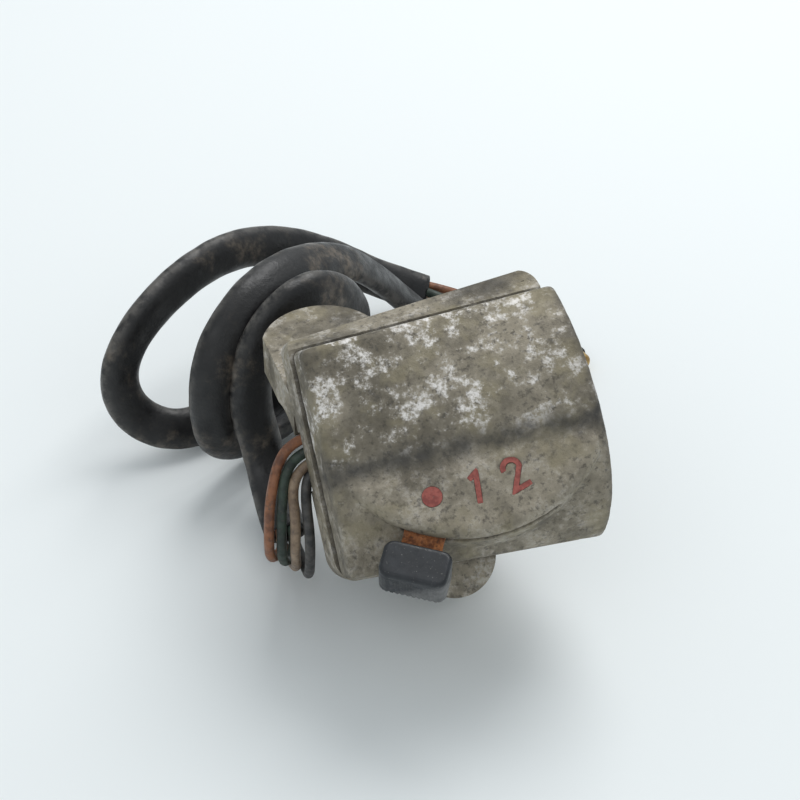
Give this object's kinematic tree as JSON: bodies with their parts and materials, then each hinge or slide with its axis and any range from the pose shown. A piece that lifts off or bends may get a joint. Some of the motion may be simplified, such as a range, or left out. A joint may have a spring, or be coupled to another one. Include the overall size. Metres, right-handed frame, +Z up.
{
  "type": "motorcycle handlebar lighting switch",
  "caption": "Worn die-cast handlebar switch with a thumb lever under a half-moon mark panel, bar clamp, mirror lug and sleeved wire harness",
  "frame": {"origin": "on the floor, under the middle of the housing and clamp, the harness left out", "axes": "+X along the handlebar toward the grip end, +Y away from the front, +Z up"},
  "size_m": [0.1042, 0.1199, 0.0615],
  "materials": {
    "cover_casting": "weathered die casting with white corrosion bloom",
    "body_casting": "weathered die casting",
    "clamp_casting": "weathered die casting",
    "mark_paint": "faded red paint in sunk marks",
    "screw_steel": "tarnished, slotted",
    "lever_steel": "rusty steel strip",
    "knob_plastic": "satin black moulding, ribbed end",
    "pin_steel": "turned steel",
    "contact_brass": "tarnished",
    "base_laminate": "brown laminate",
    "sleeve_vinyl": "dusty black vinyl sleeve",
    "wire_brown_pvc": "faded brown insulation",
    "wire_green_pvc": "dark green insulation",
    "wire_tan_pvc": "tan insulation",
    "wire_black_pvc": "grey black insulation",
    "bullet_brass": "tarnished bullet"
  },
  "bodies": {
    "housing": {"front_cover": "cover_casting", "rear_body": "body_casting", "rear_clamp": "clamp_casting", "paint_dot": "mark_paint", "paint_one": "mark_paint", "paint_two": "mark_paint", "clamp_screw_top": "screw_steel", "clamp_screw_low": "screw_steel", "cover_screws": "screw_steel", "base_screws": "screw_steel", "earth_screw": "screw_steel", "pivot_pin": "pin_steel", "retaining_clip": "pin_steel", "wave_washer": "pin_steel", "detent_ball": "pin_steel", "detent_spring": "pin_steel", "contact_common": "contact_brass", "contact_one": "contact_brass", "contact_two": "contact_brass", "tag_common": "contact_brass", "tag_one": "contact_brass", "tag_two": "contact_brass", "earth_eyelet": "contact_brass", "switch_base": "base_laminate", "sleeve": "sleeve_vinyl", "connector_boots": "sleeve_vinyl", "wire_brown": "wire_brown_pvc", "tail_brown": "wire_brown_pvc", "wire_green": "wire_green_pvc", "tail_green": "wire_green_pvc", "wire_tan": "wire_tan_pvc", "tail_tan": "wire_tan_pvc", "wire_black": "wire_black_pvc", "tail_black": "wire_black_pvc", "bullet_connectors": "bullet_brass"},
    "lever": {"thumb_lever": "lever_steel", "thumb_knob": "knob_plastic", "wiper": "contact_brass"}
  },
  "joints": [
    {"name": "lever_turn", "type": "hinge", "parent": "housing", "child": "lever", "pos_m": [0.00245, -0.00488, 0.04992], "axis": [-0.249, -0.5169, 0.819], "range_deg": [0, 44]}
  ]
}
